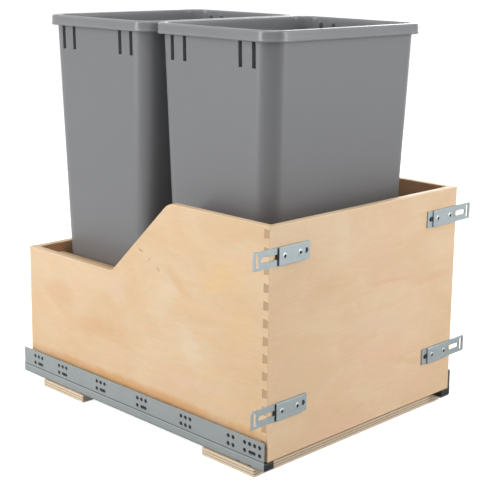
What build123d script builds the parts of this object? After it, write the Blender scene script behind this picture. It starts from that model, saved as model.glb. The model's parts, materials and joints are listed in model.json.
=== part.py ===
"""Pull out trash cabinet: a dovetailed box on undermount slides, holding two bins.

Millimetres, +Z up. The door side faces -Y and +X is to the right of someone
standing at the door. The origin is on the floor, under the middle of the
whole assembly.
"""

import os
from math import radians, tan

from build123d import *

os.makedirs("parts", exist_ok=True)

# ---------------------------------------------------------------- driving sizes

# Bins
rim_width = 327.0  # across, along X
rim_length = 244.0  # front to back, along Y
rim_corner = 28.0
rim_skirt = 15.5
rim_sheet = 2.2
rim_over_side = 6.0  # from the rim's edge in to the body, along X
rim_over_end = 7.0  # the same, along Y
bin_height = 543.8
bin_wall = 2.5
bin_floor = 3.0
bin_side_taper = 1.7  # degrees
bin_end_taper = 1.9
bin_foot_round = 8.0
bin_slot_width = 6.0
bin_slot_length = 36.0
bin_slot_depth = 6.5
bin_slot_wall = 2.0
bin_slot_outer = 80.5  # from the bin's middle
bin_slot_inner = 55.0
bin_gap = 8.0
bin_seat_gap = 0.3

# Box
panel = 12.0
side_margin = 39.7  # box side to bin rim
front_margin = 39.75
rear_overhang = 2.35  # rear bin's rim past the back of the box
box_lift = 25.3  # box's lower edge above the floor
front_height = 321.6
rear_height = 199.0
slope_start = 199.2  # behind the front face, at the high edge
slope_end = 327.0  # behind the front face, at the low edge
slope_crown = 30.0
slope_foot = 16.0
edge_round = 2.0
base_recess = 13.0
base_panel = 9.0
base_groove = 6.0
deck_top = 209.2
deck_board = 12.0
deck_groove = 4.0
deck_clearance = 2.5
deck_corner = 24.0

# Dovetails
pin_pitch = 24.1
pin_narrow = 9.5
pin_wide = 12.5
pin_lap = 2.5
pin_first = 21.9  # lowest pin's middle above the box's lower edge

# Floor strips
strip_board = 12.0
strip_width = 101.0
front_strip_offset = 18.7
rear_strip_offset = 391.5
floor_screw_hole = 2.5  # radius
floor_screw_reach = 140.0  # hole from the middle, along X

# Slides
sheet = 1.5
web_joggle = 0.6
rail_reach = 7.0  # rail's outer face past the box side
rail_height = 41.7
rail_crease = 13.0
rail_setback = 0.9
rail_mouth = 22.0  # from the rail's front to its lips
rail_overrun = 12.2  # rail's rear end past the back of the box
rail_bend = 4.0
run_width = 25.4  # over the drawer rail
run_inset = 2.7  # box side to drawer rail
lip_reach = 4.7
lip_rise = 11.0
wing_gap = 1.2
middle_height = 12.0
middle_start = 1.5
middle_inset = 5.0
middle_web = 4.5
drawer_rail_drop = 11.5
drawer_rail_start = 2.0
roller_clearance = 0.3
roller_length = 15.0
roller_pitch = 24.0
roller_count = 9
cage_length = 240.0
cage_start = 147.0
cage_board = 2.0
cage_side_gap = 0.6
pocket_clearance = 0.3

# Slide hardware
hook_radius = 2.5
hook_length = 9.0
hook_width = 14.0
hook_rise = 22.0
hook_height = 14.0
hook_clearance = 0.1
notch_clearance = 2.0  # past the trigger pin
stop_depth = 18.0
stop_height = 10.6
rail_screw_inset = 10.0
rail_screw_radius = 2.0
rail_screw_head = 3.6
rail_screw_head_height = 1.8
rail_screw_length = 10.0
rail_screw_margin = 24.0
screw_clearance = 0.05

# Web holes, from the rail's front end
hole_radius = 3.0
hole_step = 9.4
upper_row = 33.1  # above the rail's lower edge
lower_row = 21.7
grid_groups = [67.6, 163.6, 259.6, 355.6, 451.6, 515.6]
front_group = 35.9
lock_slot = 14.0
lock_slot_height = 5.0
bend_slots = [47.0, 25.2]
bend_slot_length = 7.0
bend_slot_height = 3.2

# Soft close
closer_width = 16.0
closer_length = 170.0
closer_height = 11.5
closer_end = 30.0  # from the box's back
closer_slot = 5.6
closer_slot_depth = 6.0
trigger_radius = 2.0
trigger_setback = 52.0
trigger_tab = 16.0
trigger_rise = 16.0
damper_radius = 4.0
damper_length = 90.0

# Locking devices
lock_width = 36.0
lock_length = 60.0
lock_height = 11.0
tongue_length = 10.0
tongue_height = 3.6
tongue_reach = 2.6
tongue_clearance = 0.3
lever_board = 5.2
lever_gap = 0.3
lever_pin = 2.0
lever_pin_clearance = 0.08
lever_hub = 7.0
lever_width = 10.0
lever_pin_inset = 18.0
lever_pin_setback = 36.0
lever_tip_setback = 4.0
lever_head = 3.4
lever_head_height = 1.2
lock_screw_radius = 1.75
lock_screw_head = 3.4
lock_screw_head_height = 1.5
lock_screw_length = 7.0

# Door brackets
bracket_length = 107.0
bracket_height = 25.0
bracket_sheet = 2.0
bracket_overhang = 33.8
bracket_low = 67.7  # lower bracket's middle above the box's lower edge
bracket_high = 280.7
bracket_corner = 2.0
end_slot_width = 5.5
end_slot_height = 19.0
end_slot_inset = 7.2
door_slot_length = 46.0
door_slot_radius = 3.5
door_slot_inset = 13.5
inner_slot_length = 27.0
inner_slot_inset = 3.5
clamp_length = 50.0
clamp_sheet = 2.5
clamp_inset = 11.5
clamp_screw_spacing = 30.0
clamp_screw_radius = 2.1
clamp_screw_head = 4.6
clamp_screw_dome = 0.6
clamp_screw_length = 13.5
driver_width = 1.0
driver_length = 5.0
driver_depth = 1.4

# ---------------------------------------------------------------- derived sizes

box_width = rim_width + 2 * side_margin
box_depth = front_margin + 2 * rim_length + bin_gap - rear_overhang
bracket_proud = bracket_sheet + clamp_sheet + clamp_screw_dome
rail_length = box_depth + rail_overrun - rail_setback
front_y = bracket_proud - (box_depth + rail_overrun + bracket_proud) / 2
back_y = front_y + box_depth
side_x = box_width / 2
inner_x = side_x - panel
inner_front_y = front_y + panel
inner_back_y = back_y - panel
box_top = box_lift + front_height
rear_top = box_lift + rear_height
base_under = box_lift + base_recess
base_top = base_under + base_panel
deck_under = deck_top - deck_board

rail_x = side_x + rail_reach
rail_front = front_y + rail_setback
rail_rear = rail_front + rail_length
flange_top = strip_board + sheet
run_start = rail_reach + panel + run_inset  # inward from the rail's outer face
run_end = run_start + run_width
notch_reach = run_end + closer_width / 2 + trigger_radius + notch_clearance
notch_width = notch_reach - rail_reach - panel
wing_start = run_start + sheet + wing_gap
wing_end = run_end - sheet - wing_gap
roller_gap = (base_under - sheet - flange_top - middle_height) / 2
roller_radius = roller_gap / 2 - roller_clearance
middle_under = flange_top + roller_gap
middle_top = middle_under + middle_height

bin_floor_z = base_top + bin_seat_gap
bin_top = bin_floor_z + bin_height
rim_under = bin_top - rim_skirt
front_bin_y = front_y + front_margin + rim_length / 2
rear_bin_y = front_bin_y + rim_length + bin_gap

sides = {"left": -1, "right": 1}


def save(piece, name):
    """Label a finished piece and write it as its own file."""
    piece.label = name
    export_step(piece, f"parts/{name}.step")


def body_half_sizes(height):
    """Half the bin body's width and length at a height above the floor."""
    drop = bin_top - height
    half_width = rim_width / 2 - rim_over_side - drop * tan(radians(bin_side_taper))
    half_length = rim_length / 2 - rim_over_end - drop * tan(radians(bin_end_taper))
    return half_width, half_length


# ---------------------------------------------------------------- floor strips

strip_length = 2 * rail_x
strip_fronts = {
    "front": front_y + front_strip_offset,
    "rear": front_y + rear_strip_offset,
}
rail_screw_ys = [
    strip_front + margin
    for strip_front in strip_fronts.values()
    for margin in (rail_screw_margin, strip_width - rail_screw_margin)
]
rail_screw_x = rail_x - rail_screw_inset

for end, strip_front in strip_fronts.items():
    strip_middle = strip_front + strip_width / 2
    with BuildPart() as floor_strip:
        with Locations((0, strip_middle, strip_board / 2)):
            Box(strip_length, strip_width, strip_board)
        with Locations((0, strip_middle, strip_board)):
            with GridLocations(2 * floor_screw_reach, 0, 2, 1):
                Hole(floor_screw_hole)
            with GridLocations(
                2 * rail_screw_x, strip_width - 2 * rail_screw_margin, 2, 2
            ):
                Hole(rail_screw_radius + screw_clearance)
    save(floor_strip.part, f"floor_strip_{end}")


# ---------------------------------------------------------------- slide rails


def slab(side, near, far, low, high):
    """One flat of a rail's section, measured inward from the rail's outer face."""
    with Locations((side * (rail_x - (near + far) / 2), (low + high) / 2)):
        Rectangle(far - near, high - low)


def web_holes(rail_front_y):
    """The punched rows of the web, on a plane that looks along X."""
    for group in grid_groups:
        with Locations((rail_front_y + group, strip_board + upper_row)):
            Circle(hole_radius)
        with Locations((rail_front_y + group, strip_board + lower_row)):
            Circle(hole_radius)
    for group in grid_groups[1:]:
        for step in (1, 2):
            near = rail_front_y + group - step * hole_step
            with Locations((near, strip_board + upper_row)):
                Circle(hole_radius)
    with Locations((rail_front_y + grid_groups[0] - hole_step, strip_board + upper_row)):
        Circle(hole_radius)
    with Locations((rail_front_y + grid_groups[0] - hole_step, strip_board + lower_row)):
        Circle(hole_radius)
    for step in (1, 2):
        near = rail_front_y + grid_groups[1] - step * hole_step
        with Locations((near, strip_board + lower_row)):
            Circle(hole_radius)
    for group in grid_groups[2:]:
        middle = rail_front_y + group - hole_step * 1.5
        with Locations((middle, strip_board + lower_row)):
            SlotOverall(lock_slot, lock_slot_height)
    for step in range(4):
        near = rail_front_y + front_group - step * hole_step
        with Locations((near, strip_board + upper_row)):
            Circle(hole_radius)
    for step in (0, 3):
        near = rail_front_y + front_group - step * hole_step
        with Locations((near, strip_board + lower_row)):
            Circle(hole_radius)
    middle = rail_front_y + front_group - hole_step * 1.5
    with Locations((middle, strip_board + lower_row)):
        SlotOverall(lock_slot, lock_slot_height)


def along_rail(rear):
    """The plane of a rail's section, at its rear end and facing the front."""
    return Plane.XZ.offset(-rear)


for name, side in sides.items():
    screw_x = side * rail_screw_x
    trigger_x = side * (rail_x - run_end - closer_width / 2)
    trigger_y = back_y - trigger_setback

    # Punched web, joggled above the crease, with the flange that lies on the
    # strips and the two lips that guide the middle rail's lower wings.
    with BuildPart() as cabinet_rail:
        with BuildSketch(along_rail(rail_rear)) as section:
            crease = strip_board + rail_crease
            slab(side, 0, sheet, strip_board, crease + sheet)
            slab(side, web_joggle, web_joggle + sheet, crease, strip_board + rail_height)
            slab(side, 0, run_end, strip_board, flange_top)
            slab(side, run_start, run_start + sheet, flange_top, strip_board + lip_rise)
            slab(
                side,
                run_start,
                run_start + lip_reach,
                strip_board + lip_rise - sheet,
                strip_board + lip_rise,
            )
            slab(side, run_end - sheet, run_end, flange_top, strip_board + lip_rise)
            slab(
                side,
                run_end - lip_reach,
                run_end,
                strip_board + lip_rise - sheet,
                strip_board + lip_rise,
            )
            heel = (side * rail_x, strip_board, 0)
            fillet(section.vertices().sort_by_distance(heel)[0], rail_bend)
        extrude(amount=rail_length)
        with BuildSketch(Plane.YZ.offset(side * rail_x)):
            web_holes(rail_front)
        extrude(amount=3 * sheet, both=True, mode=Mode.SUBTRACT)
        with BuildSketch(Plane.YZ.offset(side * rail_x)):
            for place in bend_slots:
                with Locations((rail_front + place, strip_board + rail_bend / 2)):
                    Rectangle(bend_slot_length, bend_slot_height)
        extrude(amount=sheet, both=True, mode=Mode.SUBTRACT)
        mouth_x = side * (rail_x - (run_start + run_end) / 2)
        with Locations((mouth_x, rail_front + rail_mouth / 2, strip_board + lip_rise / 2)):
            Box(run_width, rail_mouth, lip_rise, mode=Mode.SUBTRACT)
        with Locations(*[(screw_x, y, flange_top) for y in rail_screw_ys]):
            Hole(rail_screw_radius + screw_clearance, depth=sheet)
        tab_width = closer_width / 2 + trigger_tab / 2
        tab_x = side * (rail_x - run_end - tab_width / 2)
        with Locations((tab_x, trigger_y, strip_board + sheet / 2)):
            Box(tab_width, trigger_tab, sheet)
        with Locations((trigger_x, trigger_y, flange_top + trigger_rise / 2)):
            Cylinder(trigger_radius, trigger_rise)
    save(cabinet_rail.part, f"cabinet_rail_{name}")

    # Black stop that closes the rail's mouth under the box side.
    with BuildPart() as rail_stop:
        stop_width = run_start - sheet
        stop_x = side * (rail_x - sheet - stop_width / 2)
        stop_middle = rail_front + stop_depth / 2
        with Locations((stop_x, stop_middle, flange_top + stop_height / 2)):
            Box(stop_width, stop_depth, stop_height)
        chamfer(rail_stop.faces().sort_by(Axis.Y)[0].edges(), sheet)
    save(rail_stop.part, f"rail_stop_{name}")

    # Closed box section with two wings below and two above.
    middle_front = inner_front_y + middle_start
    middle_rear = rail_rear - middle_inset
    web_near = wing_start + middle_web
    web_far = wing_end - middle_web
    with BuildPart() as middle_rail:
        with BuildSketch(along_rail(middle_rear)):
            slab(side, wing_start, wing_end, middle_under, middle_under + sheet)
            slab(side, wing_start, wing_end, middle_top - sheet, middle_top)
            slab(side, web_near, web_near + sheet, middle_under, middle_top)
            slab(side, web_far - sheet, web_far, middle_under, middle_top)
        extrude(amount=middle_rear - middle_front)
    save(middle_rail.part, f"middle_rail_{name}")

    # Channel under the box, open below, with a hook behind the back panel.
    hook_plate_back = back_y + sheet
    drawer_rail_front = inner_front_y + drawer_rail_start
    skirt_low = base_under - drawer_rail_drop
    run_middle = (run_start + run_end) / 2
    hook_x = side * (rail_x - run_middle)
    tongue_y = inner_front_y + lock_length / 2
    tongue_z = base_under - sheet - tongue_clearance - tongue_height / 2
    with BuildPart() as drawer_rail:
        with BuildSketch(along_rail(hook_plate_back)):
            slab(side, run_start, run_end, base_under - sheet, base_under)
            slab(side, run_start, run_start + sheet, skirt_low, base_under)
            slab(side, run_end - sheet, run_end, skirt_low, base_under)
            slab(side, run_start, run_start + lip_reach, skirt_low, skirt_low + sheet)
            slab(side, run_end - lip_reach, run_end, skirt_low, skirt_low + sheet)
        extrude(amount=hook_plate_back - drawer_rail_front)
        hook_middle = base_under - sheet + (hook_rise + sheet) / 2
        with Locations((hook_x, back_y + sheet / 2, hook_middle)):
            Box(hook_width, sheet, hook_rise + sheet)
        hook_z = base_under + hook_height
        with Locations((hook_x, back_y - hook_length / 2, hook_z)):
            Cylinder(hook_radius, hook_length, rotation=(90, 0, 0))
        with Locations((side * (rail_x - run_end + sheet / 2), tongue_y, tongue_z)):
            Box(
                2 * sheet,
                tongue_length + 2 * tongue_clearance,
                tongue_height + 2 * tongue_clearance,
                mode=Mode.SUBTRACT,
            )
    save(drawer_rail.part, f"drawer_rail_{name}")

    # Roller cages below and above the middle rail, each with its rollers.
    roller_xs = side * (rail_x - (wing_start + wing_end) / 2)
    cage_width = wing_end - wing_start - 2 * cage_side_gap
    cage_front = rail_front + cage_start
    cage_middle = cage_front + cage_length / 2
    pocket = 2 * (roller_radius + pocket_clearance)
    for level, floor in (("lower", flange_top), ("upper", middle_top)):
        gap_middle = floor + roller_gap / 2
        with BuildPart() as roller_cage:
            with Locations((roller_xs, cage_middle, gap_middle)):
                Box(cage_width, cage_length, cage_board)
                with GridLocations(0, roller_pitch, 1, roller_count):
                    Box(
                        roller_length + 2 * pocket_clearance,
                        pocket,
                        cage_board,
                        mode=Mode.SUBTRACT,
                    )
        save(roller_cage.part, f"{level}_roller_cage_{name}")
        with BuildPart() as rollers:
            with Locations((roller_xs, cage_middle, gap_middle)):
                with GridLocations(0, roller_pitch, 1, roller_count):
                    Cylinder(roller_radius, roller_length, rotation=(0, 90, 0))
        save(rollers.part, f"{level}_rollers_{name}")

    # Soft-close housing beside the drawer rail, slotted below for the trigger.
    closer_x = side * (rail_x - run_end - closer_width / 2)
    closer_back = back_y - closer_end
    closer_low = base_under - closer_height
    closer_middle = closer_back - closer_length / 2
    damper_middle = closer_back - closer_length - damper_length / 2
    damper_z = base_under - closer_height / 2
    with BuildPart() as soft_close:
        with Locations((closer_x, closer_middle, base_under - closer_height / 2)):
            Box(closer_width, closer_length, closer_height)
        chamfer(soft_close.edges().filter_by(Axis.Y).group_by(Axis.Z)[0], sheet)
        slot_run = closer_length / 2
        slot_middle = closer_back - slot_run / 2
        slot_z = closer_low + closer_slot_depth / 2
        with Locations((closer_x, slot_middle, slot_z)):
            Box(closer_slot, slot_run, closer_slot_depth, mode=Mode.SUBTRACT)
    save(soft_close.part, f"soft_close_{name}")
    with BuildPart() as damper:
        with Locations((closer_x, damper_middle, damper_z)):
            Cylinder(damper_radius, damper_length, rotation=(90, 0, 0))
        with Locations((closer_x, damper_middle - damper_length / 4, damper_z)):
            Box(
                2 * damper_radius,
                damper_radius,
                closer_height,
            )
        chamfer(damper.edges().sort_by(Axis.Y)[0], sheet / 2)
    save(damper.part, f"damper_{name}")

    # Locking device in the box's front corner, hooked into the drawer rail.
    lock_x = side * (rail_x - run_end - lock_width / 2)
    lock_middle = inner_front_y + lock_length / 2
    lock_low = base_under - lock_height
    pin_x = side * (rail_x - run_end - lever_pin_inset)
    pin_y = inner_front_y + lever_pin_setback
    lever_top = lock_low - lever_gap
    lever_low = lever_top - lever_board
    pin_low = lever_low - lever_gap
    lock_screw_xs = [lock_x + reach * (lock_width / 2 - lock_screw_head) for reach in (-1, 1)]
    lock_screw_y = inner_front_y + lock_length - 2 * lock_screw_head
    with BuildPart() as locking_device:
        with Locations((lock_x, lock_middle, base_under - lock_height / 2)):
            Box(lock_width, lock_length, lock_height)
        fillet(locking_device.edges().filter_by(Axis.Z), sheet)
        tongue_run = sheet + tongue_reach
        tongue_x = side * (rail_x - run_end + tongue_run / 2)
        with Locations((tongue_x, tongue_y, tongue_z)):
            Box(tongue_run, tongue_length, tongue_height)
        with Locations((pin_x, pin_y, (lock_low + pin_low) / 2)):
            Cylinder(lever_pin, lock_low - pin_low)
        with Locations((pin_x, pin_y, pin_low - lever_head_height / 2)):
            Cylinder(lever_head, lever_head_height)
        with Locations(*[(x, lock_screw_y, lock_low) for x in lock_screw_xs]):
            with Locations((0, 0, lock_height / 2)):
                Cylinder(
                    lock_screw_radius + screw_clearance,
                    lock_height,
                    mode=Mode.SUBTRACT,
                )
    save(locking_device.part, f"locking_device_{name}")

    # Finger lever on its upright pin, reaching to the front edge of the box.
    tip_y = inner_front_y + lever_tip_setback
    tip_x = pin_x - side * lever_width / 2
    with BuildPart() as release_lever:
        with BuildSketch(Plane.XY.offset(lever_low)):
            with Locations((pin_x, pin_y)):
                Circle(lever_hub)
            with BuildLine():
                Polyline(
                    (pin_x - side * lever_hub, pin_y),
                    (pin_x + side * lever_hub, pin_y),
                    (tip_x + side * lever_width, tip_y),
                    (tip_x - side * lever_width, tip_y),
                    close=True,
                )
            make_face()
            with Locations((pin_x, pin_y)):
                Circle(lever_pin + lever_pin_clearance, mode=Mode.SUBTRACT)
        extrude(amount=lever_board)
        fillet(release_lever.edges().filter_by(Axis.Z).group_by(Axis.Y)[0], sheet)
    save(release_lever.part, f"release_lever_{name}")


# ---------------------------------------------------------------- slide screws

with BuildPart() as rail_screws:
    for side in sides.values():
        for y in rail_screw_ys:
            with Locations((side * rail_screw_x, y, flange_top)):
                with Locations((0, 0, rail_screw_head_height / 2)):
                    Cylinder(rail_screw_head, rail_screw_head_height)
                with Locations((0, 0, -rail_screw_length / 2)):
                    Cylinder(rail_screw_radius, rail_screw_length)
save(rail_screws.part, "rail_screws")

with BuildPart() as locking_screws:
    for side in sides.values():
        middle_x = side * (rail_x - run_end - lock_width / 2)
        for reach in (-1, 1):
            screw_x = middle_x + reach * (lock_width / 2 - lock_screw_head)
            with Locations((screw_x, lock_screw_y, lock_low)):
                with Locations((0, 0, -lock_screw_head_height / 2)):
                    Cylinder(lock_screw_head, lock_screw_head_height)
                shank = lock_height + lock_screw_length
                with Locations((0, 0, shank / 2)):
                    Cylinder(lock_screw_radius, shank)
save(locking_screws.part, "locking_screws")


# ---------------------------------------------------------------- box panels

pin_count = int((front_height - pin_first - pin_wide / 2) / pin_pitch) + 1
pin_heights = [box_lift + pin_first + step * pin_pitch for step in range(pin_count)]


def add_pin_outlines():
    """The dovetail pins between the lap and the joint's shoulder, seen from a side."""
    with Locations(*[(front_y, height) for height in pin_heights]):
        Polygon(
            (pin_lap, -pin_narrow / 2),
            (panel, -pin_wide / 2),
            (panel, pin_wide / 2),
            (pin_lap, pin_narrow / 2),
            align=None,
        )


for name, side in sides.items():
    outer_face = side * side_x
    inner_face = side * inner_x
    low_face = min(outer_face, inner_face)
    with BuildPart() as side_panel:
        with BuildSketch(Plane.YZ.offset(low_face)) as outline:
            with BuildLine():
                Polyline(
                    (front_y, box_lift),
                    (front_y, box_top),
                    (front_y + slope_start, box_top),
                    (front_y + slope_end, rear_top),
                    (back_y, rear_top),
                    (back_y, box_lift),
                    close=True,
                )
            make_face()
            crown = (front_y + slope_start, box_top, 0)
            foot = (front_y + slope_end, rear_top, 0)
            fillet(outline.vertices().sort_by_distance(crown)[0], slope_crown)
            fillet(outline.vertices().sort_by_distance(foot)[0], slope_foot)
        extrude(amount=panel)
        flats = side_panel.faces().filter_by(Axis.X)
        upper_edges = flats.edges().filter_by(
            lambda edge: edge.center().Z > rear_top - edge_round
            and abs(edge.center().Y - front_y) > edge_round
        )
        fillet(upper_edges, edge_round)
        # The lap of the front panel, then the sockets between the tails.
        with Locations((side * (side_x - panel / 2), front_y + pin_lap / 2, box_lift)):
            Box(
                panel,
                pin_lap,
                front_height,
                align=(Align.CENTER, Align.CENTER, Align.MIN),
                mode=Mode.SUBTRACT,
            )
        with BuildSketch(Plane.YZ.offset(low_face)):
            add_pin_outlines()
        extrude(amount=panel, mode=Mode.SUBTRACT)
        # Grooves for the bottom panel and the deck.
        for groove, low, board in (
            (base_groove, base_under, base_panel),
            (deck_groove, deck_under, deck_board),
        ):
            run = inner_back_y - inner_front_y
            groove_back = base_groove if groove == base_groove else 0
            middle_y = (inner_front_y + inner_back_y + groove_back) / 2
            with Locations((side * (inner_x + groove / 2), middle_y, low + board / 2)):
                Box(groove, run + groove_back, board, mode=Mode.SUBTRACT)
    save(side_panel.part, f"side_panel_{name}")

# Front panel: full width, thinned to the lap and the pins at each end.
with BuildPart() as front_panel:
    with Locations((0, front_y + panel / 2, box_lift + front_height / 2)):
        Box(box_width, panel, front_height)
    fillet(front_panel.edges().filter_by(Axis.X).group_by(Axis.Z)[-1], edge_round)
    for side in sides.values():
        end_x = side * (side_x - panel / 2)
        with Locations((end_x, front_y + (pin_lap + panel) / 2, box_lift)):
            Box(
                panel,
                panel - pin_lap,
                front_height,
                align=(Align.CENTER, Align.CENTER, Align.MIN),
                mode=Mode.SUBTRACT,
            )
        with BuildSketch(Plane.YZ.offset(min(side * side_x, side * inner_x))):
            add_pin_outlines()
        extrude(amount=panel)
    with Locations((0, inner_front_y - base_groove / 2, base_under + base_panel / 2)):
        Box(2 * inner_x, base_groove, base_panel, mode=Mode.SUBTRACT)
    bracket_screw_zs = [box_lift + bracket_low, box_lift + bracket_high]
    bracket_outer_x = side_x + bracket_overhang
    bracket_inner_x = bracket_outer_x - bracket_length
    clamp_middle_x = bracket_inner_x + clamp_inset + clamp_length / 2
    bracket_screw_xs = [
        side * (clamp_middle_x + reach * clamp_screw_spacing / 2)
        for side in sides.values()
        for reach in (-1, 1)
    ]
    with BuildSketch(Plane.XZ.offset(-front_y)):
        with Locations(*[(x, z) for x in bracket_screw_xs for z in bracket_screw_zs]):
            Circle(clamp_screw_radius + screw_clearance)
    pilot_depth = clamp_screw_length - bracket_sheet - clamp_sheet
    extrude(amount=-pilot_depth, mode=Mode.SUBTRACT)
save(front_panel.part, "front_panel")

# Back panel between the sides, notched below for the slides.
with BuildPart() as back_panel:
    with Locations((0, back_y - panel / 2, box_lift + rear_height / 2)):
        Box(2 * inner_x, panel, rear_height)
    fillet(back_panel.edges().filter_by(Axis.X).group_by(Axis.Z)[-1], edge_round)
    for side in sides.values():
        notch_x = side * (inner_x - notch_width / 2)
        with Locations((notch_x, back_y - panel / 2, box_lift + base_recess / 2)):
            Box(notch_width, panel, base_recess, mode=Mode.SUBTRACT)
        with Locations((side * (rail_x - run_middle), back_y, hook_z)):
            with Locations((0, -panel / 2, 0)):
                Cylinder(
                    hook_radius + hook_clearance,
                    panel,
                    rotation=(90, 0, 0),
                    mode=Mode.SUBTRACT,
                )
    with Locations((0, inner_back_y + base_groove / 2, base_under + base_panel / 2)):
        Box(2 * inner_x, base_groove, base_panel, mode=Mode.SUBTRACT)
save(back_panel.part, "back_panel")

# Bottom panel, let into all four walls.
with BuildPart() as bottom_panel:
    base_width = 2 * (inner_x + base_groove)
    base_length = inner_back_y - inner_front_y
    corner_width = 2 * inner_x
    middle_y = (inner_front_y + inner_back_y) / 2
    with Locations((0, middle_y, base_under + base_panel / 2)):
        Box(base_width, base_length, base_panel)
        Box(corner_width, base_length + 2 * base_groove, base_panel)
    screw_tops = [
        (side * (rail_x - run_end - lock_width / 2) + reach * (lock_width / 2 - lock_screw_head))
        for side in sides.values()
        for reach in (-1, 1)
    ]
    with Locations(*[(x, lock_screw_y, base_under) for x in screw_tops]):
        with Locations((0, 0, lock_screw_length / 2)):
            Cylinder(
                lock_screw_radius + screw_clearance,
                lock_screw_length,
                mode=Mode.SUBTRACT,
            )
save(bottom_panel.part, "bottom_panel")

# Deck: a closed opening for the front bin and one open to the back panel for
# the rear bin, each a little larger than the bin's body at the deck's top.
deck_half_width, deck_half_length = body_half_sizes(deck_top)
opening_width = 2 * (deck_half_width + deck_clearance)
opening_length = 2 * (deck_half_length + deck_clearance)
with BuildPart() as bin_deck:
    with BuildSketch(Plane.XY.offset(deck_under)):
        with Locations((0, middle_y)):
            Rectangle(2 * (inner_x + deck_groove), base_length)
        with Locations((0, front_bin_y)):
            RectangleRounded(opening_width, opening_length, deck_corner, mode=Mode.SUBTRACT)
        rear_opening_front = rear_bin_y - opening_length / 2
        rear_opening = inner_back_y - rear_opening_front + deck_corner
        with Locations((0, rear_opening_front + rear_opening / 2)):
            RectangleRounded(opening_width, rear_opening, deck_corner, mode=Mode.SUBTRACT)
    extrude(amount=deck_board)
save(bin_deck.part, "bin_deck")


# ---------------------------------------------------------------- door brackets

for level, bracket_z in zip(("lower", "upper"), bracket_screw_zs):
    for name, side in sides.items():
        plate_x = side * (bracket_outer_x - bracket_length / 2)
        with BuildPart() as bracket_plate:
            with BuildSketch(Plane.XZ.offset(-front_y)):
                with Locations((plate_x, bracket_z)):
                    RectangleRounded(bracket_length, bracket_height, bracket_corner)
                with Locations((side * (bracket_outer_x - end_slot_inset), bracket_z)):
                    RectangleRounded(
                        end_slot_width,
                        end_slot_height,
                        bracket_corner,
                        mode=Mode.SUBTRACT,
                    )
                door_slot_x = bracket_outer_x - door_slot_inset - door_slot_length / 2
                with Locations((side * door_slot_x, bracket_z)):
                    SlotOverall(door_slot_length, 2 * door_slot_radius, mode=Mode.SUBTRACT)
                inner_slot_x = bracket_inner_x + inner_slot_inset + inner_slot_length / 2
                with Locations((side * inner_slot_x, bracket_z)):
                    SlotOverall(inner_slot_length, 2 * door_slot_radius, mode=Mode.SUBTRACT)
            extrude(amount=bracket_sheet)
        save(bracket_plate.part, f"door_bracket_{level}_{name}")

        clamp_back = front_y - bracket_sheet
        clamp_front = clamp_back - clamp_sheet
        with BuildPart() as bracket_clamp:
            with BuildSketch(Plane.XZ.offset(-clamp_back)):
                with Locations((side * clamp_middle_x, bracket_z)):
                    Rectangle(clamp_length, bracket_height)
            extrude(amount=clamp_sheet)
            front_face = bracket_clamp.faces().sort_by(Axis.Y)[0]
            chamfer(front_face.edges(), bracket_sheet / 4)
            clamp_screws = [
                (side * (clamp_middle_x + reach * clamp_screw_spacing / 2), bracket_z)
                for reach in (-1, 1)
            ]
            with BuildSketch(Plane.XZ.offset(-clamp_back)):
                with Locations(*clamp_screws):
                    Circle(clamp_screw_radius + screw_clearance)
            extrude(amount=clamp_sheet, mode=Mode.SUBTRACT)
            sink_radius = clamp_screw_head + screw_clearance
            with BuildSketch(Plane.XZ.offset(-clamp_front)):
                with Locations(*clamp_screws):
                    Circle(sink_radius)
            sink_depth = clamp_screw_head - clamp_screw_radius
            extrude(amount=-sink_depth, taper=45, mode=Mode.SUBTRACT)
        save(bracket_clamp.part, f"bracket_clamp_{level}_{name}")

# Countersunk screws with a slightly domed head and a cross recess.
with BuildPart() as bracket_screws:
    screw_places = [(x, z) for x in bracket_screw_xs for z in bracket_screw_zs]
    with BuildSketch(Plane.XZ.offset(-clamp_front)):
        with Locations(*screw_places):
            Circle(clamp_screw_head)
    extrude(amount=-sink_depth, taper=45)
    with BuildSketch(Plane.XZ.offset(-clamp_front)):
        with Locations(*screw_places):
            Circle(clamp_screw_head)
    extrude(amount=clamp_screw_dome, taper=45)
    with BuildSketch(Plane.XZ.offset(-clamp_front)):
        with Locations(*screw_places):
            Circle(clamp_screw_radius)
    extrude(amount=-clamp_screw_length)
    with BuildSketch(Plane.XZ.offset(-clamp_front + clamp_screw_dome)):
        with Locations(*screw_places):
            Rectangle(driver_length, driver_width)
            Rectangle(driver_width, driver_length)
    extrude(amount=-driver_depth, mode=Mode.SUBTRACT)
save(bracket_screws.part, "bracket_screws")


# ---------------------------------------------------------------- bins


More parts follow.
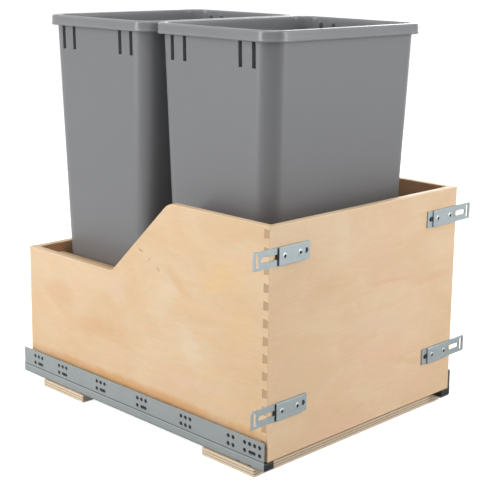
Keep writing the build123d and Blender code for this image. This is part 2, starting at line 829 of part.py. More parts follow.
def make_bin(middle_y):
    """A tapered bin with a rolled rim and four blind slots in each side."""
    body_top = bin_top - rim_sheet
    top_half_width, top_half_length = body_half_sizes(body_top)
    low_half_width, low_half_length = body_half_sizes(bin_floor_z)
    floor_half_width, floor_half_length = body_half_sizes(bin_floor_z + bin_floor)
    body_corner = rim_corner - rim_over_side
    with BuildPart() as waste_bin:
        for height, half_width, half_length in (
            (bin_floor_z, low_half_width, low_half_length),
            (body_top, top_half_width, top_half_length),
        ):
            with BuildSketch(Plane((0, middle_y, height))):
                RectangleRounded(2 * half_width, 2 * half_length, body_corner)
        loft()
        fillet(waste_bin.edges().group_by(Axis.Z)[0], bin_foot_round)
        with BuildSketch(Plane((0, middle_y, rim_under))):
            RectangleRounded(rim_width, rim_length, rim_corner)
        extrude(amount=rim_skirt)
        # The hollow leaves a thin wall round each of the blind slots.
        slot_overall = bin_slot_length + bin_slot_width / 2
        slot_low = rim_under - bin_slot_length
        slot_bottom = body_half_sizes(slot_low)[0] - bin_slot_depth
        slot_places = [
            (middle_y + way * reach, slot_low + slot_overall / 2)
            for way in (-1, 1)
            for reach in (bin_slot_outer, bin_slot_inner)
        ]
        with BuildPart(mode=Mode.PRIVATE) as hollow:
            for height, half_width, half_length in (
                (bin_floor_z + bin_floor, floor_half_width, floor_half_length),
                (bin_top, *body_half_sizes(bin_top)),
            ):
                with BuildSketch(Plane((0, middle_y, height))):
                    RectangleRounded(
                        2 * (half_width - bin_wall),
                        2 * (half_length - bin_wall),
                        body_corner - bin_wall,
                    )
            loft()
            wall_bottom = slot_bottom - bin_slot_wall
            for way in (-1, 1):
                with BuildSketch(Plane.YZ.offset(way * wall_bottom)):
                    with Locations(*slot_places):
                        SlotOverall(
                            slot_overall + 2 * bin_slot_wall,
                            bin_slot_width + 2 * bin_slot_wall,
                            rotation=90,
                        )
                extrude(amount=way * (rim_width / 2 - wall_bottom), mode=Mode.SUBTRACT)
        add(hollow.part, mode=Mode.SUBTRACT)
        inner_floor = waste_bin.faces().filter_by(Axis.Z).sort_by(Axis.Z)[1]
        fillet(inner_floor.edges(), bin_foot_round - bin_floor)
        # The hollow between the rim's skirt and the body.
        with BuildSketch(Plane((0, middle_y, rim_under))):
            RectangleRounded(
                rim_width - 2 * rim_sheet,
                rim_length - 2 * rim_sheet,
                rim_corner - rim_sheet,
            )
            RectangleRounded(
                2 * top_half_width,
                2 * top_half_length,
                body_corner,
                mode=Mode.SUBTRACT,
            )
        extrude(amount=rim_skirt - rim_sheet, mode=Mode.SUBTRACT)
        rim_edges = waste_bin.faces().sort_by(Axis.Z)[-1].outer_wire().edges()
        fillet(rim_edges, rim_sheet / 2)
        # Slots with round lower ends; their upper ends hide behind the skirt.
        slot_outside = top_half_width + rim_sheet / 2
        for way in (-1, 1):
            with BuildSketch(Plane.YZ.offset(way * slot_bottom)):
                with Locations(*slot_places):
                    SlotOverall(slot_overall, bin_slot_width, rotation=90)
            extrude(amount=way * (slot_outside - slot_bottom), mode=Mode.SUBTRACT)
    return waste_bin.part


save(make_bin(front_bin_y), "front_bin")
save(make_bin(rear_bin_y), "rear_bin")
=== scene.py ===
"""Looks of the pull out trash cabinet.

A maple plywood box with contoured sides on zinc undermount slides, two grey
bins with rolled rims, and four slotted steel door brackets. Lengths are in
metres, but in millimetres where they lay out a material; plain colours are
eight-bit sRGB.
"""

import json
from math import cos, pi, radians, sin, tan

import bmesh
import bpy
from mathutils import Matrix, Vector


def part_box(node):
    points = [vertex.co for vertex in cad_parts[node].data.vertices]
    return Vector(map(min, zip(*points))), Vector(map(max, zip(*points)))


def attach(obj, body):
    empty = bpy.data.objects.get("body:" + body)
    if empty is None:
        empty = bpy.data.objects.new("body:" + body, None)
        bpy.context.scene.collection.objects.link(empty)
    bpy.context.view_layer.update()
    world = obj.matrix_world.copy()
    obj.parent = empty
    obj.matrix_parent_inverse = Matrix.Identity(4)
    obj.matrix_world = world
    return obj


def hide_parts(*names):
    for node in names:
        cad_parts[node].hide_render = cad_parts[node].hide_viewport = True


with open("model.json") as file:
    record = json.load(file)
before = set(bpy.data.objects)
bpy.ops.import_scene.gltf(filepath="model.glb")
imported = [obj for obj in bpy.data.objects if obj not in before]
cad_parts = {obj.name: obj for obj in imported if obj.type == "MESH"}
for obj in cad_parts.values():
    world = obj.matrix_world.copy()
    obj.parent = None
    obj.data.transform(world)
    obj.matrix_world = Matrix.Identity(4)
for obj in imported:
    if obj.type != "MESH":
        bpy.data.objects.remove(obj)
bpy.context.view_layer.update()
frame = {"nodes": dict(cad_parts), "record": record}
cad_nodes = frame["nodes"]
mm = 0.001

body_of_node = {
    name: body
    for body, names in frame["record"]["behaviour"]["bodies"].items()
    for name in names
}


# ---- node trees ----


class Tree:
    """Adds nodes to a node tree; an input is either a number or another node's output."""

    def __init__(self, nodes_of):
        self.nodes_of = nodes_of

    def add(self, kind, inputs=None, out=0, **settings):
        made = self.nodes_of.nodes.new(kind)
        for setting, value in settings.items():
            setattr(made, setting, value)
        for socket, value in (inputs or {}).items():
            if isinstance(value, bpy.types.NodeSocket):
                self.nodes_of.links.new(value, made.inputs[socket])
            else:
                made.inputs[socket].default_value = value
        return made.outputs[out] if out is not None else made

    def math(self, operation, first, second=0.0, third=0.0, clamp=False):
        values = {0: first, 1: second, 2: third}
        return self.add("ShaderNodeMath", values, operation=operation, use_clamp=clamp)

    def vector(self, operation, first, second=(0, 0, 0), out=0):
        return self.add(
            "ShaderNodeVectorMath", {0: first, 1: second}, out=out, operation=operation
        )

    def combine(self, x=0.0, y=0.0, z=0.0):
        return self.add("ShaderNodeCombineXYZ", {0: x, 1: y, 2: z})

    def transform(self, geometry, **how):
        return self.add("GeometryNodeTransform", {"Geometry": geometry, **how})

    def link_all(self, parts, made, socket):
        """Leads several geometries into one socket and returns what the node makes."""
        for part in parts:
            self.nodes_of.links.new(part, made.inputs[socket])
        return made.outputs[0]

    def joined(self, *parts):
        return self.link_all(parts, self.add("GeometryNodeJoinGeometry", out=None), 0)

    def union(self, *parts):
        whole = self.add("GeometryNodeMeshBoolean", out=None, operation="UNION", solver="EXACT")
        return self.link_all(parts, whole, 1)

    def cut(self, solid, tool):
        parts = {0: solid, 1: tool}
        return self.add(
            "GeometryNodeMeshBoolean", parts, operation="DIFFERENCE", solver="EXACT"
        )


def linear(red, green, blue):
    """An eight-bit sRGB colour, turned into the linear one a shader takes."""

    def channel(value):
        value /= 255
        return value / 12.92 if value <= 0.04045 else ((value + 0.055) / 1.055) ** 2.4

    return (channel(red), channel(green), channel(blue), 1.0)


class Finish(Tree):
    """A procedural material whose patterns are laid out in millimetres."""

    def __init__(self, name):
        self.material = bpy.data.materials.new(name)
        self.material.use_nodes = True
        super().__init__(self.material.node_tree)
        self.nodes_of.nodes.clear()
        place = self.add("ShaderNodeTexCoord", out="Object")
        self.place = self.vector("MULTIPLY", place, (1 / mm,) * 3)
        parts = self.add("ShaderNodeSeparateXYZ", {0: self.place}, out=None)
        self.axis = {"X": parts.outputs[0], "Y": parts.outputs[1], "Z": parts.outputs[2]}

    def noise(self, size, detail=3.0, rough=0.5, shift=0.0, distortion=0.0):
        """Soft noise from 0 to 1; size is the pattern's scale along X, Y and Z."""
        size = size if isinstance(size, tuple) else (size,) * 3
        spread = self.vector("MULTIPLY", self.place, tuple(1 / s for s in size))
        spread = self.vector("ADD", spread, (shift, shift * 1.7, shift * 0.6))
        return self.add(
            "ShaderNodeTexNoise",
            {
                "Vector": spread,
                "Scale": 1.0,
                "Detail": detail,
                "Roughness": rough,
                "Distortion": distortion,
            },
        )

    def stretch(self, value, low, high, to_low=0.0, to_high=1.0, smooth=True):
        """The value carried from one range to another, held inside it."""
        return self.add(
            "ShaderNodeMapRange",
            {0: value, 1: low, 2: high, 3: to_low, 4: to_high},
            interpolation_type="SMOOTHSTEP" if smooth else "LINEAR",
        )

    def blend(self, share, first, second, kind="MIX"):
        """Mixes two colours; one given as three numbers is eight-bit sRGB."""
        first, second = (
            linear(*tone) if isinstance(tone, tuple) else tone for tone in (first, second)
        )
        return self.add(
            "ShaderNodeMix",
            {0: share, 6: first, 7: second},
            out=2,
            data_type="RGBA",
            blend_type=kind,
        )

    def bump(self, height, strength, distance, under=None):
        inputs = {"Height": height, "Strength": strength, "Distance": distance}
        if under is not None:
            inputs["Normal"] = under
        return self.add("ShaderNodeBump", inputs)

    def finish(self, colour, roughness, normal=None, **constants):
        shader = self.add("ShaderNodeBsdfPrincipled", out=None)
        for socket, value in (("Base Color", colour), ("Roughness", roughness)):
            if isinstance(value, bpy.types.NodeSocket):
                self.nodes_of.links.new(value, shader.inputs[socket])
            else:
                shader.inputs[socket].default_value = value
        if normal is not None:
            self.nodes_of.links.new(normal, shader.inputs["Normal"])
        for socket, value in constants.items():
            shader.inputs[socket.replace("_", " ")].default_value = value
        self.add("ShaderNodeOutputMaterial", {"Surface": shader.outputs[0]}, out=None)
        return self.material


# ---- materials ----


box_edge = ((236, 212, 176), (226, 196, 156), (205, 172, 132))
# painted shade on the box's inner faces
inner_face_shade_tone = (198, 148, 104)
pin_maple = (196, 156, 118)
joint_line = (150, 108, 72)
inner_face_shade_share = 0.7
veneer_thickness = 0.62
glue_share = 0.85
end_grain_share = 0.18


def long_size(along, across_grain, with_grain):
    """A pattern's size along X, Y and Z, drawn out along one of them."""
    return tuple(with_grain if axis == along else across_grain for axis in "XYZ")


def plywood(
    node,
    through,
    along,
    tones,
    plies,
    edge_tones=box_edge,
    joint=None,
    marks=(),
    inside=None,
    glue_reach=(0.03, 0.12),
):
    """Crossed plies for one board: maple veneer on its faces, plies on every edge.

    through is the axis across the board and along the axis of the face grain;
    inside is 0 or 1 where the low or the high face is the box's inner one,
    which is painted darker as shade.
    """
    low, high = (corner["XYZ".index(through)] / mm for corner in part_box(node))
    board = high - low
    wood = Finish("plywood_" + node)
    light, tan_tone, rosy, golden = tones
    depth = wood.math("SUBTRACT", wood.axis[through], low)
    depth = wood.math("DIVIDE", depth, board)

    def long_noise(across_grain, with_grain, *settings):
        return wood.noise(long_size(along, across_grain, with_grain), *settings)

    # Face veneer: broad cloudy figure, slow bands along the grain, fine flecks.
    cloud = long_noise(80.0, 150.0, 4, 0.55, 3.1, 0.8)
    rose_cloud = long_noise(60.0, 120.0, 4, 0.5, 11.4, 1.2)
    pale_cloud = long_noise(34.0, 64.0, 4, 0.55, 19.3, 1.6)
    band = long_noise(13.0, 190.0, 3, 0.55, 7.7, 0.5)
    fleck = long_noise(3.6, 30.0, 3, 0.6, 5.9, 0.3)
    pore = long_noise(1.9, 16.0, 2, 0.6, 1.3)
    face = wood.blend(wood.stretch(cloud, 0.36, 0.66), tan_tone, light)
    face = wood.blend(wood.stretch(rose_cloud, 0.46, 0.70, 0, 0.8), face, rosy)
    face = wood.blend(wood.stretch(band, 0.45, 0.75, 0, 0.5), face, golden)
    face = wood.blend(wood.stretch(pale_cloud, 0.52, 0.74, 0, 0.4), face, light)
    for middle, size, turn, tone, share in marks:
        face = wood.blend(figure_and_shade_streak(wood, along, middle, size, turn, share), face, tone)
    shade = wood.stretch(fleck, 0.2, 0.8, 0.972, 1.024)
    shade = wood.math("MULTIPLY", shade, wood.stretch(pore, 0.2, 0.8, 0.985, 1.012))
    face = wood.blend(1.0, face, wood.combine(shade, shade, shade), "MULTIPLY")
    # painted shade: the inner face of the board is darker
    if inside is not None:
        inner_face_shade = wood.stretch(depth, 0.4, 0.6, 1.0 - inside, float(inside))
        face = wood.blend(wood.math("MULTIPLY", inner_face_shade, inner_face_shade_share), face, inner_face_shade_tone)

    # Edges: every other ply shows end grain, with thin glue lines between.
    long_ply, end_ply, glue_tone = edge_tones
    step = wood.math("MULTIPLY", depth, plies)
    odd = wood.math("FLOORED_MODULO", wood.math("FLOOR", step), 2.0)
    glue = wood.stretch(wood.math("PINGPONG", step, 0.5), *glue_reach, glue_share, 0.0)
    grain = wood.noise(1.6, 3, 0.6, 2.2)
    edge = wood.blend(odd, long_ply, end_ply)
    grain = wood.stretch(grain, 0.35, 0.75, 0, end_grain_share)
    edge = wood.blend(grain, edge, glue_tone)
    edge = wood.blend(glue, edge, glue_tone)
    skin = veneer_thickness / board
    under_face = wood.math("PINGPONG", depth, 0.5)
    veneer = wood.stretch(under_face, skin * 0.8, skin * 1.2, 1.0, 0.0)
    colour = wood.blend(veneer, edge, face)
    if joint is not None:
        end_grain, line = joint(wood)
        colour = wood.blend(end_grain, colour, pin_maple)
        colour = wood.blend(line, colour, joint_line)

    relief = wood.bump(fleck, 0.10, 0.00010)
    relief = wood.bump(cloud, 0.10, 0.0004, relief)
    rough = wood.stretch(fleck, 0.2, 0.8, 0.42, 0.54)
    return wood.finish(colour, rough, relief, Specular_IOR_Level=0.38)


endless = 1000  # a streak's reach through the board


def figure_and_shade_streak(wood, along, middle, size, turn, share):
    """A soft streak in an upright board, for its figure and for one painted shade band: its
    middle, its reach and its tilt.
    """
    through = 0 if along == "Y" else 1
    centre, reach = list(middle), list(size)
    centre.insert(through, 0)
    reach.insert(through, endless)
    turned = wood.add(
        "ShaderNodeVectorRotate",
        {"Vector": wood.vector("SUBTRACT", wood.place, centre), "Angle": radians(turn)},
        rotation_type="XY"[through] + "_AXIS",
    )
    scaled = wood.vector("DIVIDE", turned, reach)
    wobble = wood.noise(26.0, 3, 0.6, 8.8)
    reach = wood.vector("LENGTH", scaled, out=1)
    reach = wood.math("ADD", reach, wood.math("MULTIPLY_ADD", wobble, 0.9, -0.45))
    return wood.stretch(reach, 0.25, 1.0, share, 0.0)


# painted shade for a screw's recess and a rail's crease, and a painted highlight under the
# crease
painted_recess_shade = (26, 26, 28)
lit_steel = (196, 202, 203)
painted_crease_shade = (92, 97, 99)
lit_below_crease = 1.6  # how far under the crease its lit edge lies


def sheet_steel(name, tone, dark_tone, rough, rolled, spots=0.25, recess=None, crease=None):
    """Zinc-coated sheet with faint rolling marks along one axis.

    recess names an axis and the two levels between which a driver's recess
    is painted dark as shade; crease is the height of a pressed line with a
    painted shade line along it and a painted highlight just under it.
    """
    steel = Finish(name)
    lines = steel.noise(long_size(rolled, 0.9, 60.0), 3, 0.6, 4.2)
    bloom = steel.noise(9.0, 4, 0.6, 6.1)
    wide = steel.noise(48.0, 3, 0.5, 2.7)
    colour = steel.blend(steel.stretch(bloom, 0.35, 0.75, 0, spots), tone, dark_tone)
    colour = steel.blend(steel.stretch(wide, 0.4, 0.7, 0, spots), colour, dark_tone)
    if recess is not None:
        axis, shallow, deep = recess
        # painted shade: the recess turns dark below its rim
        recess_shade = steel.stretch(steel.axis[axis], shallow, deep)
        colour = steel.blend(recess_shade, colour, painted_recess_shade)
    if crease is not None:
        # a painted shade line along the crease, with a painted highlight just under it
        off = steel.math("SUBTRACT", steel.axis["Z"], crease)
        off_lit = steel.math("ABSOLUTE", steel.math("ADD", off, lit_below_crease))
        lit = steel.stretch(off_lit, 0.3, 1.0, 0.5, 0.0)
        colour = steel.blend(lit, colour, lit_steel)
        crease_shade = steel.stretch(steel.math("ABSOLUTE", off), 0.35, 0.9, 0.85, 0.0)
        colour = steel.blend(crease_shade, colour, painted_crease_shade)
    roughness = steel.stretch(lines, 0.2, 0.8, rough - 0.05, rough + 0.07)
    relief = steel.bump(lines, 0.15, 0.00004)
    return steel.finish(colour, roughness, relief, Metallic=1.0)


polish_reach = 0.8  # over which a polished level begins
polished_rough = 0.24
# the polished rim is painted lighter as a sheen
painted_rim_sheen_share = 0.35
painted_rim_sheen_tone = (156, 157, 160)


def moulded(
    name,
    tone,
    worn_tone,
    rough,
    grain=0.7,
    depth=0.00005,
    strength=0.25,
    polished_above=None,
    **constants,
):
    """Moulded plastic with a fine spark-eroded skin; above a level it is polished and painted
    lighter as a sheen.
    """
    plastic = Finish(name)
    skin = plastic.noise(grain, 2, 0.6, 3.3)
    cloud = plastic.noise((70.0, 70.0, 120.0), 3, 0.5, 9.1)
    smear = plastic.noise((14.0, 14.0, 40.0), 4, 0.6, 5.2)
    colour = plastic.blend(plastic.stretch(cloud, 0.35, 0.7, 0, 0.5), tone, worn_tone)
    roughness = plastic.stretch(smear, 0.3, 0.75, rough - 0.02, rough + 0.03)
    if polished_above is not None:
        begun = polished_above + polish_reach
        rim = plastic.stretch(plastic.axis["Z"], polished_above, begun)
        roughness = plastic.math("MULTIPLY_ADD", rim, polished_rough - rough, roughness)
        # painted sheen: the polished rim turns lighter
        rim_sheen = plastic.math("MULTIPLY", rim, painted_rim_sheen_share)
        colour = plastic.blend(rim_sheen, colour, painted_rim_sheen_tone)
    relief = plastic.bump(skin, strength, depth)
    return plastic.finish(colour, roughness, relief, **constants)


# The dovetail joint at the box's front corners, in millimetres.
side_board = 12.0
side_face = 203.2
front_face = -270.25
first_pin = 47.2
pin_step = 24.1
pin_root = 2.5
half_pin_at_root, half_pin_at_shoulder = 4.75, 6.25
pin_edge = (6.0, 6.6)
line_reach = (0.25, 0.75)
pin_share, line_share = 0.62, 0.4


def pin_joint(wood):
    """Each dovetail pin's end grain, and the dark line round it, on the box's side faces."""
    from_front = wood.math("SUBTRACT", wood.axis["Y"], front_face)
    rise = wood.math("SUBTRACT", wood.axis["Z"], first_pin - pin_step / 2)
    rise = wood.math("FLOORED_MODULO", rise, pin_step)
    off_middle = wood.math("ABSOLUTE", wood.math("SUBTRACT", rise, pin_step / 2))
    half_pin = wood.stretch(
        from_front, pin_root, side_board, half_pin_at_root, half_pin_at_shoulder, smooth=False
    )
    off_pin = wood.math("ABSOLUTE", wood.math("SUBTRACT", off_middle, half_pin))
    above = wood.stretch(off_pin, *line_reach, 1.0, 0.0)
    behind_lap = wood.stretch(from_front, pin_root + 0.1, pin_root + 1.5)
    before_shoulder = wood.stretch(from_front, side_board - 0.8, side_board, 1.0, 0.0)
    pin_depth = wood.math("MULTIPLY", behind_lap, before_shoulder)
    line = wood.math("MULTIPLY", above, pin_depth)
    shoulder = wood.math("ABSOLUTE", wood.math("SUBTRACT", from_front, side_board))
    shoulder = wood.stretch(shoulder, *line_reach, 1.0, 0.0)
    in_pin = wood.stretch(off_middle, *pin_edge, 1.0, 0.0)
    line = wood.math("MAXIMUM", line, wood.math("MULTIPLY", shoulder, in_pin))
    sideways = wood.math("ABSOLUTE", wood.axis["X"])
    outside = wood.stretch(sideways, side_face - 1.2, side_face - 0.6)
    pin = wood.math("MULTIPLY", wood.math("MULTIPLY", in_pin, pin_depth), outside)
    line = wood.math("MULTIPLY", line, outside)
    return wood.math("MULTIPLY", pin, pin_share), wood.math("MULTIPLY", line, line_share)


side_maple = ((250, 220, 182), (244, 209, 166), (250, 213, 177), (249, 211, 161))
front_maple = ((250, 220, 183), (244, 210, 170), (250, 211, 177), (245, 206, 163))
# darker maple for the boards inside the box, as painted shade
inner_shade_maple = ((214, 178, 134), (205, 167, 122), (211, 170, 128), (208, 165, 114))
strip_edge = ((252, 238, 214), (248, 228, 198), (140, 96, 62))

# Each streak's middle, reach and tilt in the board's face, its tone and its share.
side_marks = [
    ((-60, 205), (30, 62), -32, (251, 228, 196), 0.5),
    ((-118, 150), (26, 60), 30, (251, 230, 200), 0.5),
    ((-180, 262), (62, 34), 14, (251, 213, 156), 0.7),
    ((-215, 200), (40, 46), -10, (250, 212, 158), 0.55),
    ((-92, 236), (46, 14), -38, (240, 192, 140), 0.5),
    ((90, 128), (90, 22), 4, (241, 197, 150), 0.7),
    ((180, 160), (60, 30), -6, (239, 196, 152), 0.6),
    ((-110, 96), (90, 18), 2, (251, 216, 184), 0.7),
    ((40, 190), (40, 26), -30, (251, 222, 190), 0.5),
    # a painted shade band on the wood just above the rail
    ((0, 58), (420, 12), 0, (242, 184, 124), 0.8),
    ((-12, 268.5), (7.0, 2.2), -20, (196, 152, 104), 0.6),
    ((-31, 258.5), (4.0, 1.6), 30, (198, 154, 106), 0.5),
    ((-50, 247.5), (6.0, 2.0), -35, (190, 146, 98), 0.6),
]
front_marks = [
    ((-62, 318), (24, 60), 10, (252, 228, 196), 0.5),
    ((60, 228), (90, 5), -4, (243, 198, 158), 0.6),
    ((150, 214), (60, 8), 3, (246, 197, 160), 0.6),
    ((-100, 240), (60, 30), 18, (237, 199, 155), 0.5),
    ((20, 170), (110, 24), -8, (249, 220, 188), 0.5),
    ((100, 96), (80, 10), -14, (241, 203, 157), 0.6),
    ((-10, 108), (120, 9), 6, (247, 211, 176), 0.5),
]


def lowest(node, axis):
    """A node's lowest level along an axis, in millimetres."""
    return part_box(node)[0]["XYZ".index(axis)] / mm


zinc_look = ((164, 170, 171), (150, 157, 160), 0.50, "Y", 0.25)
crease_rise = 14.5
rail_foot = lowest("cabinet_rail_left", "Z")
zinc = sheet_steel("zinc_steel", *zinc_look)
rail_zinc = sheet_steel("rail_steel", *zinc_look, crease=rail_foot + crease_rise)
bracket_zinc = sheet_steel("bracket_steel", (164, 173, 175), (150, 161, 164), 0.56, "X", 0.2)
rail_screw_zinc = sheet_steel("rail_screw_steel", (186, 190, 190), (150, 154, 156), 0.34, "X")
skirt_drop = 15.6  # from the rim's top to under its skirt
bin_plastic = moulded(
    "grey_moulded_plastic",
    (130, 131, 134),
    (128, 129, 132),
    0.40,
    grain=5.0,
    depth=0.00001,
    strength=0.02,
    polished_above=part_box("front_bin")[1][2] / mm - skirt_drop,
    Specular_IOR_Level=0.5,
)
housing_plastic = moulded("housing_plastic", (52, 53, 56), (44, 45, 48), 0.45)
black_plastic = moulded("black_plastic", (20, 20, 21), (29, 29, 31), 0.45)
lever_plastic = moulded("lever_plastic", (88, 90, 93), (80, 82, 85), 0.40)
cage_plastic = moulded("cage_plastic", (225, 225, 220), (214, 214, 208), 0.38)


# ---- pieces ----


def add_piece(name, mesh, body, *nodes, slot=None):
    """Links a finished mesh, lets it ride on its body and stand for its CAD nodes."""
    piece = bpy.data.objects.new(name, mesh)
    bpy.context.scene.collection.objects.link(piece)
    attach(piece, body)
    if nodes:
        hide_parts(*nodes)
    return piece


def mesh_of(form, name):
    mesh = bpy.data.meshes.new(name)
    form.to_mesh(mesh)
    form.free()
    return mesh


def merged_form(node):
    """A CAD solid's loose triangles, joined where they meet."""
    form = bmesh.new()
    form.from_mesh(cad_nodes[node].data)
    bmesh.ops.remove_doubles(form, verts=form.verts, dist=0.002 * mm)
    return form


def merged_copy(node):
    """A CAD solid as one clean closed mesh, its flat faces in one piece each."""
    form = merged_form(node)
    bmesh.ops.dissolve_limit(
        form, angle_limit=radians(0.5), verts=form.verts, edges=form.edges
    )
    return mesh_of(form, node + "_eased")


facet_area = 0.0008  # square metres; the flats beside a bend are larger than its facets
facet_bend = radians(1.0)
sharp_bend = radians(30.0)
kept_sharp = radians(50.0)


def ease_edges(mesh, width, segments=2):
    """Rounds a mesh's sharp edges; flats stay flat and only bends are shaded smooth."""
    form = bmesh.new()
    form.from_mesh(mesh)
    curved = form.faces.layers.int.new("curved")
    sharp = []
    for face in form.faces:
        face.material_index = 0
    for edge in form.edges:
        if len(edge.link_faces) != 2:
            continue
        bend = edge.calc_face_angle(0.0)
        if bend > sharp_bend:
            sharp.append(edge)
        elif bend > facet_bend:
            for face in edge.link_faces:
                face[curved] = face.calc_area() < facet_area
    bmesh.ops.bevel(
        form,
        geom=sharp,
        offset=width,
        segments=segments,
        profile=0.5,
        affect="EDGES",
        clamp_overlap=True,
        material=1,
    )
    smooth = [face[curved] == 1 or face.material_index == 1 for face in form.faces]
    for face in form.faces:
        face.material_index = 0
    form.to_mesh(mesh)
    form.free()
    for attribute in ("curved", "custom_normal"):
        if attribute in mesh.attributes:
            mesh.attributes.remove(mesh.attributes[attribute])
    mesh.set_sharp_from_angle(angle=kept_sharp)
    mesh.polygons.foreach_set("use_smooth", smooth)


board_edge = 0.4 * mm
sheet_edge = 0.2 * mm
plate_edge = 0.3 * mm
clamp_edge = 0.5 * mm
moulded_edge = 0.8 * mm
stop_edge = 1.2 * mm


def eased(node, finish, slot, width=board_edge, segments=2):
    """A copy of a CAD solid with its sharp edges eased, standing for that solid."""
    mesh = merged_copy(node)
    ease_edges(mesh, width, segments)
    mesh.materials.clear()
    mesh.materials.append(finish)
    return add_piece(mesh.name, mesh, body_of_node[node], node, slot=slot)


def dress(node, finish):
    """Gives a CAD solid that stays in view its finish."""
    mesh = cad_nodes[node].data
    mesh.materials.clear()
    mesh.materials.append(finish)


def tree_with_inputs(name, numbers, others):
    """An empty Geometry Nodes tree with named inputs: the tree, those inputs, their keys."""
    group = bpy.data.node_groups.new(name, "GeometryNodeTree")
    for way in ("INPUT", "OUTPUT"):
        group.interface.new_socket("Geometry", in_out=way, socket_type="NodeSocketGeometry")
    keys = {}
    for label, kind in (dict.fromkeys(numbers, "Float") | others).items():
        socket = group.interface.new_socket(
            label, in_out="INPUT", socket_type="NodeSocket" + kind
        )
        keys[label] = socket.identifier
    tree = Tree(group)
    return tree, tree.add("NodeGroupInput", out=None).outputs, keys


def from_nodes(start, tree, keys, values):
    """Runs a Geometry Nodes tree on a mesh and returns the plain mesh it makes."""
    carrier = bpy.data.objects.new(start.name + "_carrier", start)
    bpy.context.scene.collection.objects.link(carrier)
    modifier = carrier.modifiers.new("shape", "NODES")
    modifier.node_group = tree.nodes_of
    for label, value in values.items():
        modifier[keys[label]] = value
    graph = bpy.context.evaluated_depsgraph_get()
    made = bpy.data.meshes.new_from_object(carrier.evaluated_get(graph), depsgraph=graph)
    carrier.modifiers.clear()
    bpy.data.objects.remove(carrier)
    finish = next(material for material in made.materials if material)
    made.materials.clear()
    made.materials.append(finish)
    made.polygons.foreach_set("material_index", [0] * len(made.polygons))
    return made


def finish_tree(tree, geometry, material):
    """The end every tree here has: real geometry in one material."""
    real = tree.add("GeometryNodeRealizeInstances", {0: geometry})
    real = tree.add("GeometryNodeSetMaterial", {"Geometry": real, "Material": material})
    tree.add("NodeGroupOutput", {0: real}, out=None)


def points_mesh(name, places):
    mesh = bpy.data.meshes.new(name)
    mesh.from_pydata(places, [], [])
    return mesh


# ---- plywood box ----

sides = {"left": -1, "right": 1}

for node, through, along, tones, plies, extras in (
    ("side_panel_left", "X", "Y", side_maple, 9, {"marks": side_marks, "inside": 1}),
    ("side_panel_right", "X", "Y", side_maple, 9, {"inside": 0}),
    (
        "front_panel",
        "Y",
        "X",
        front_maple,
        9,
        {"joint": pin_joint, "marks": front_marks, "inside": 1},
    ),
    ("back_panel", "Y", "X", front_maple, 9, {"inside": 0}),
    ("bottom_panel", "Z", "X", inner_shade_maple, 7, {}),
    ("bin_deck", "Z", "X", inner_shade_maple, 9, {}),
):
    eased(node, plywood(node, through, along, tones, plies, **extras), "maple_plywood")
for end in ("front", "rear"):
    node = f"floor_strip_{end}"
    finish = plywood(node, "Z", "X", front_maple, 3, strip_edge, glue_reach=(0.05, 0.16))
    eased(node, finish, "strip_plywood", plate_edge)


# ---- slides ----


def crease_tree():
    """Presses a shallow square groove along the outside of a rail's web."""
    numbers = ("Side", "Face", "Height", "Front", "Rear", "Size")
    tree, given, keys = tree_with_inputs("rail_crease", numbers, {"Steel": "Material"})
    run = tree.math("SUBTRACT", given["Rear"], given["Front"])
    middle = tree.math("MULTIPLY", tree.math("ADD", given["Rear"], given["Front"]), 0.5)
    size = tree.combine(given["Size"], run, given["Size"])
    bar = tree.add("GeometryNodeMeshCube", {"Size": size})
    across = tree.math("MULTIPLY", given["Side"], given["Face"])
    bar = tree.transform(bar, Translation=tree.combine(across, middle, given["Height"]))
    finish_tree(tree, tree.cut(given["Geometry"], bar), given["Steel"])
    return tree, keys


crease_size = 1.2 * mm
past_end = 5 * mm
crease_tools = crease_tree()
for name, side in sides.items():
    node = f"cabinet_rail_{name}"
    low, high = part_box(node)
    pressed = from_nodes(
        merged_copy(node),
        *crease_tools,
        {
            "Side": float(side),
            "Face": max(abs(low[0]), abs(high[0])),
            "Height": low[2] + crease_rise * mm,
            "Front": low[1] - past_end,
            "Rear": high[1] + past_end,
            "Size": crease_size,
            "Steel": rail_zinc,
        },
    )
    pressed.name = node + "_pressed"
    ease_edges(pressed, sheet_edge)
    add_piece(pressed.name, pressed, body_of_node[node], node, slot="zinc_steel")
    eased(f"middle_rail_{name}", zinc, "zinc_steel", sheet_edge)
    eased(f"drawer_rail_{name}", zinc, "zinc_steel", sheet_edge)
    eased(f"rail_stop_{name}", black_plastic, "black_plastic", stop_edge, 3)
    eased(f"soft_close_{name}", housing_plastic, "black_plastic", moulded_edge, 3)
    eased(f"locking_device_{name}", housing_plastic, "black_plastic", moulded_edge, 3)
    eased(f"release_lever_{name}", lever_plastic, "lever_plastic", moulded_edge, 3)
    dress(f"damper_{name}", cage_plastic)
    for level in ("lower", "upper"):
        dress(f"{level}_roller_cage_{name}", cage_plastic)
        dress(f"{level}_rollers_{name}", cage_plastic)
        eased(f"door_bracket_{level}_{name}", bracket_zinc, "bracket_steel", plate_edge)
        eased(f"bracket_clamp_{level}_{name}", bracket_zinc, "bracket_steel", clamp_edge)


def add_block(form, side, near, far, front, back, middle, rise):
    """A block measured outward from the middle of the cabinet."""
    size = Vector((far - near, back - front, rise))
    place = Vector((side * (near + far) / 2, (front + back) / 2, middle))
    bmesh.ops.create_cube(form, size=1.0, matrix=Matrix.LocRotScale(place, None, size))


web_steel = 1.5 * mm
strip_thickness = 0.6 * mm
strip_overlap = 0.1 * mm  # into the web, so that no gap shows
strip_height = 28.0 * mm
strip_rise = 23.0 * mm
strip_from_front = 2.0 * mm
strip_from_rear = 4.0 * mm


